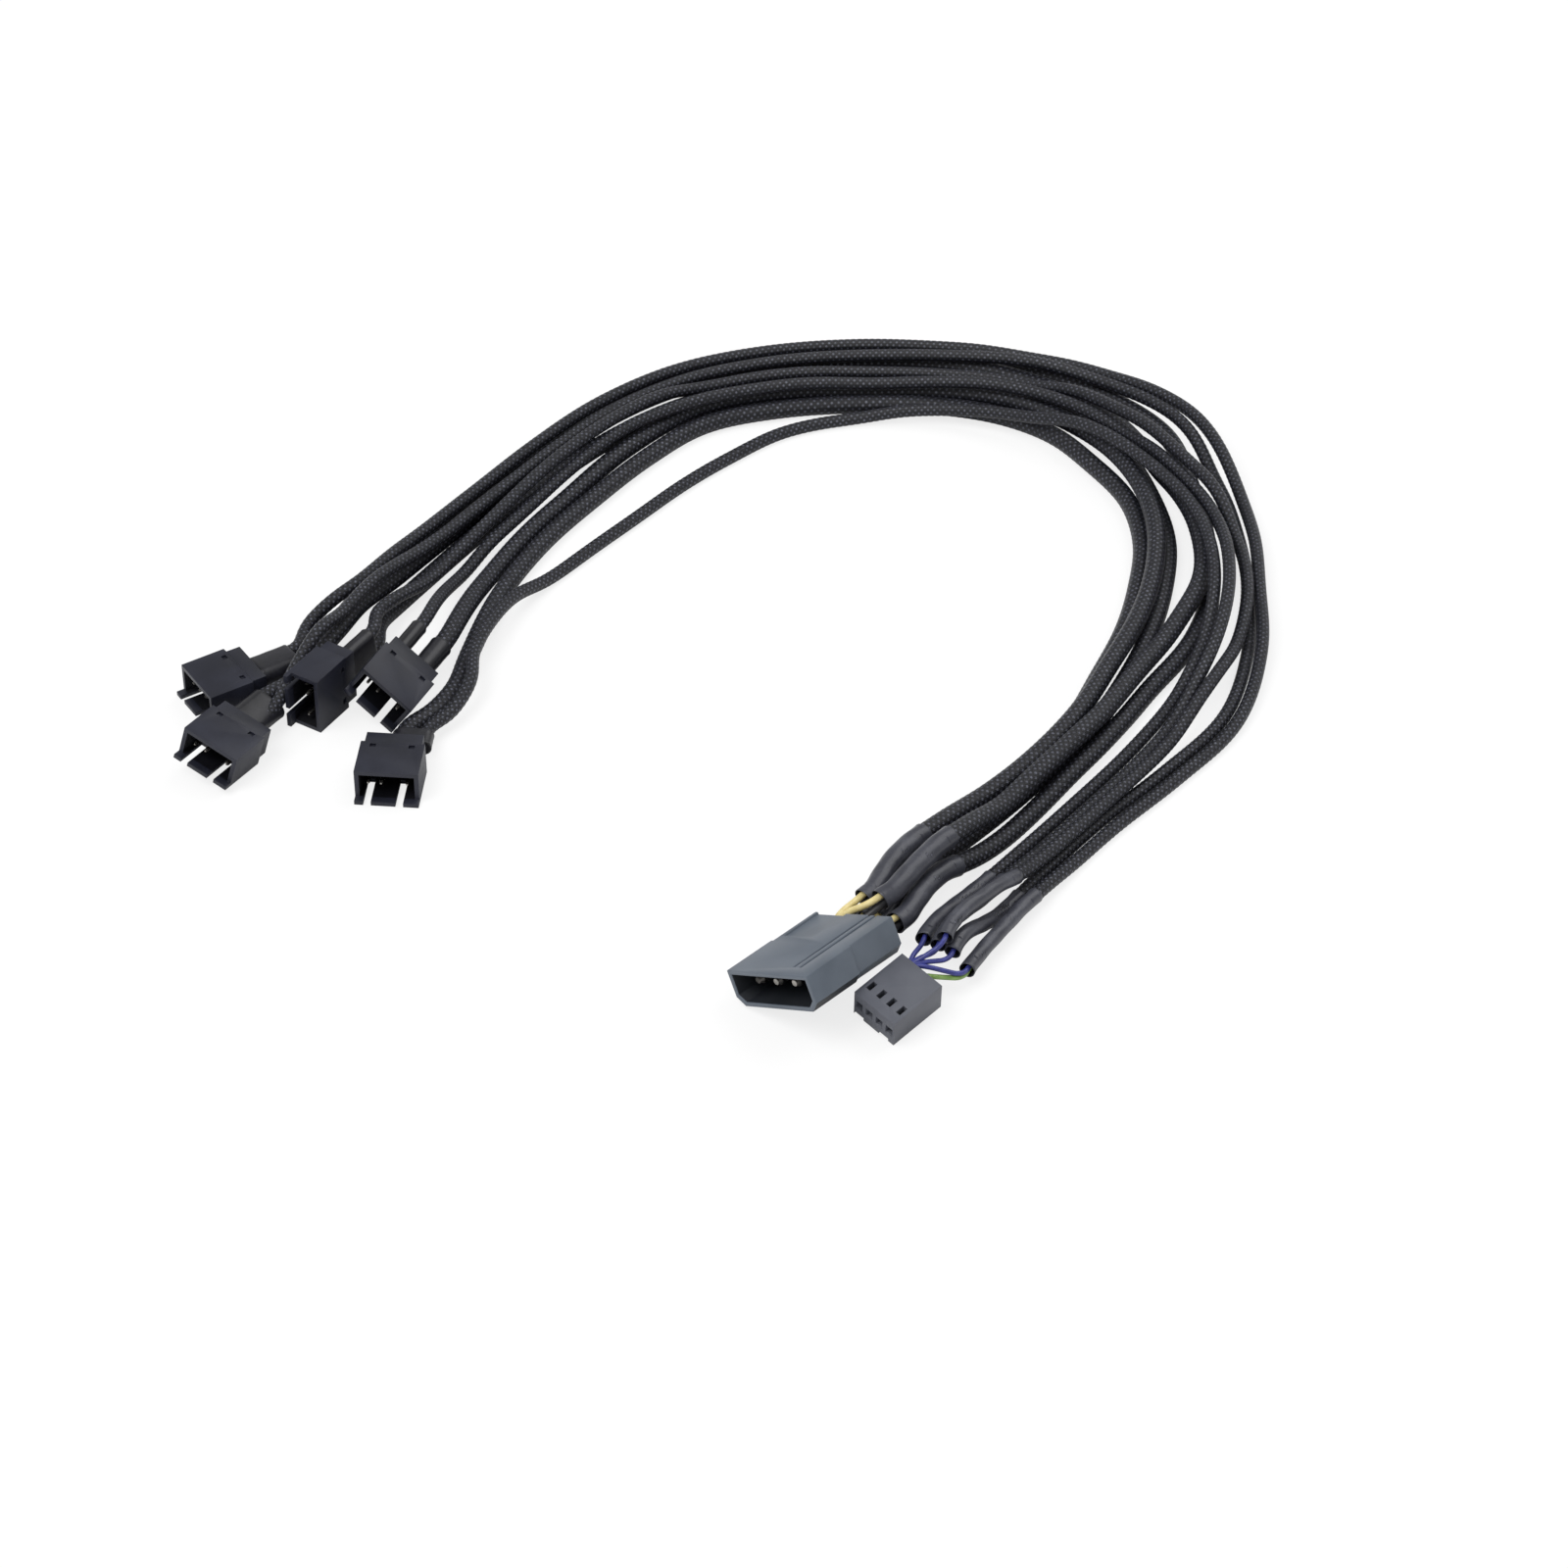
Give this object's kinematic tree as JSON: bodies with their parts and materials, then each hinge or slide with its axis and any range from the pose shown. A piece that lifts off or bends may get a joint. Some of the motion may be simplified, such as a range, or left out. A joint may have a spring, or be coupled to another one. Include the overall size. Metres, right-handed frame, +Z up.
{
  "type": "fan splitter cable",
  "caption": "Splitter cable that feeds several computer fans from a peripheral power plug and a PWM socket, with braided cables ending in fan plugs.",
  "frame": {"origin": "on the table, in plan the middle of the box round the host plugs and the fan plugs", "axes": "+Z up from the table; the cables' arch bulges towards +Y; the fan plugs lie at -X, the host plugs at +X"},
  "size_m": [0.2192, 0.2196, 0.0169],
  "materials": {
    "power_plug_plastic": "moulded, satin",
    "socket_plastic": "moulded, satin",
    "fan_plug_plastic": "moulded, satin",
    "braided_sleeve": "braided monofilament",
    "heat_shrink": "shrunk, semi-gloss",
    "tinned_pin": "tinned",
    "yellow_wire": "smooth insulation",
    "black_wire": "smooth insulation",
    "blue_wire": "smooth insulation",
    "green_wire": "smooth insulation"
  },
  "bodies": {
    "root": {"power_plug_housing": "power_plug_plastic", "power_pin_12v": "tinned_pin", "power_pin_ground": "tinned_pin", "power_pin_ground_2": "tinned_pin", "power_pin_5v": "tinned_pin", "pwm_socket_housing": "socket_plastic", "socket_contact_pwm": "tinned_pin", "socket_contact_speed": "tinned_pin", "fan_plug_1_housing": "fan_plug_plastic", "fan_pin_1_ground": "tinned_pin", "fan_pin_1_12v": "tinned_pin", "fan_pin_1_speed": "tinned_pin", "fan_pin_1_pwm": "tinned_pin", "fan_plug_2_housing": "fan_plug_plastic", "fan_pin_2_ground": "tinned_pin", "fan_pin_2_12v": "tinned_pin", "fan_pin_2_pwm": "tinned_pin", "fan_plug_3_housing": "fan_plug_plastic", "fan_pin_3_ground": "tinned_pin", "fan_pin_3_12v": "tinned_pin", "fan_pin_3_pwm": "tinned_pin", "fan_plug_4_housing": "fan_plug_plastic", "fan_pin_4_ground": "tinned_pin", "fan_pin_4_12v": "tinned_pin", "fan_pin_4_pwm": "tinned_pin", "fan_plug_5_housing": "fan_plug_plastic", "fan_pin_5_ground": "tinned_pin", "fan_pin_5_12v": "tinned_pin", "fan_pin_5_pwm": "tinned_pin", "power_1_cable": "braided_sleeve", "power_2_cable": "braided_sleeve", "power_3_cable": "braided_sleeve", "power_4_cable": "braided_sleeve", "power_5_cable": "braided_sleeve", "signal_1_cable": "braided_sleeve", "signal_2_cable": "braided_sleeve", "signal_3_cable": "braided_sleeve", "signal_4_cable": "braided_sleeve", "signal_5_cable": "braided_sleeve", "power_1_sleeve": "heat_shrink", "power_2_sleeve": "heat_shrink", "power_3_sleeve": "heat_shrink", "power_4_sleeve": "heat_shrink", "power_5_sleeve": "heat_shrink", "signal_1_sleeve": "heat_shrink", "signal_2_sleeve": "heat_shrink", "signal_3_sleeve": "heat_shrink", "signal_4_sleeve": "heat_shrink", "signal_5_sleeve": "heat_shrink", "fan_sleeve_1": "heat_shrink", "fan_sleeve_2": "heat_shrink", "fan_sleeve_3": "heat_shrink", "fan_sleeve_4_power": "heat_shrink", "fan_sleeve_4_signal": "heat_shrink", "fan_sleeve_5": "heat_shrink", "yellow_wires": "yellow_wire", "black_wires": "black_wire", "blue_wires": "blue_wire", "green_wire": "green_wire"}
  },
  "joints": []
}
